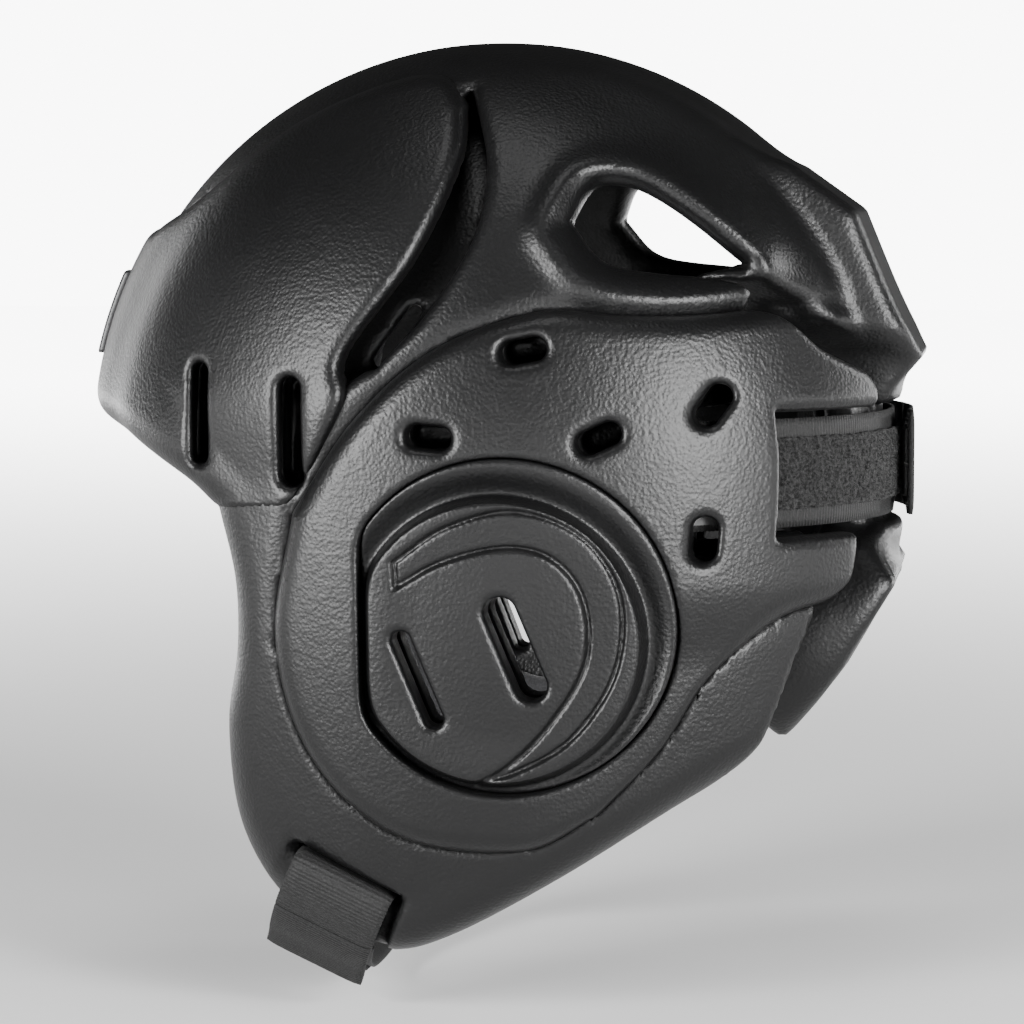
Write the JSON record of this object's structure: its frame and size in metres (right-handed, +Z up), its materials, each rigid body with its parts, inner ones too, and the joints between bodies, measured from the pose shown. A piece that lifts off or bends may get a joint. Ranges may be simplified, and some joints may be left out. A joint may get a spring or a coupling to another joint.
{
  "type": "boxing headgear",
  "caption": "Moulded foam head guard with side panels, ear cups, forehead pad, vents, and hook-and-loop straps behind the head and under the chin",
  "frame": {"origin": "midway between the two ear openings, where the middle of the wearer's head is", "axes": "+Z up through the crown, -Y the way the face looks, +X towards the wearer's left ear"},
  "size_m": [0.207, 0.2432, 0.2718],
  "materials": {
    "moulded_foam": "black integral-skin foam with a fine pebble grain, satin",
    "badge": "raised smooth black rubber bars",
    "liner": "black brushed fabric over thin foam",
    "webbing": "black ribbed polyester webbing",
    "loop_pile": "black fuzzy loop pile",
    "hook_tape": "black hook tape, matte",
    "anchor_plate": "black moulded plastic"
  },
  "bodies": {
    "root": {"main_shell": "moulded_foam", "spine_lobe": "moulded_foam", "forehead_pad": "moulded_foam", "side_panel_left": "moulded_foam", "side_panel_right": "moulded_foam", "ear_cup_left": "moulded_foam", "ear_cup_right": "moulded_foam", "brow_badge": "badge", "forehead_liner": "liner", "crown_liner": "liner", "nape_liner": "liner", "side_liner_left": "liner", "side_liner_right": "liner", "rear_strap_left": "webbing", "rear_loop_patch": "loop_pile", "rear_anchor_left": "anchor_plate", "rear_strap_right_end": "webbing", "rear_anchor_right": "anchor_plate", "chin_strap_right": "webbing", "chin_loop_patch": "loop_pile", "chin_strap_left_end": "webbing", "chin_anchor_left": "anchor_plate", "chin_anchor_right": "anchor_plate"},
    "rear_strap": {"rear_strap_right": "webbing"},
    "rear_tab": {"rear_strap_tab": "webbing", "rear_hook_patch": "hook_tape"},
    "chin_strap": {"chin_strap_left": "webbing"},
    "chin_tab": {"chin_strap_tab": "webbing", "chin_hook_patch": "hook_tape"}
  },
  "joints": [
    {"name": "rear_strap_swing", "type": "hinge", "parent": "root", "child": "rear_strap", "pos_m": [-0.065, 0.0839, 0.05], "axis": [0, 0, 1], "range_deg": [0, 55]},
    {"name": "rear_tab_peel", "type": "hinge", "parent": "rear_strap", "child": "rear_tab", "pos_m": [-0.02, 0.1113, 0.05], "axis": [0, 0, 1], "range_deg": [0, 80]},
    {"name": "chin_strap_swing", "type": "hinge", "parent": "root", "child": "chin_strap", "pos_m": [0.0789, -0.0394, -0.0629], "axis": [0, -0.9063, 0.4226], "range_deg": [0, 75]},
    {"name": "chin_tab_peel", "type": "hinge", "parent": "chin_strap", "child": "chin_tab", "pos_m": [0.0713, -0.0463, -0.0777], "axis": [0, -0.9063, 0.4226], "range_deg": [0, 110]}
  ]
}
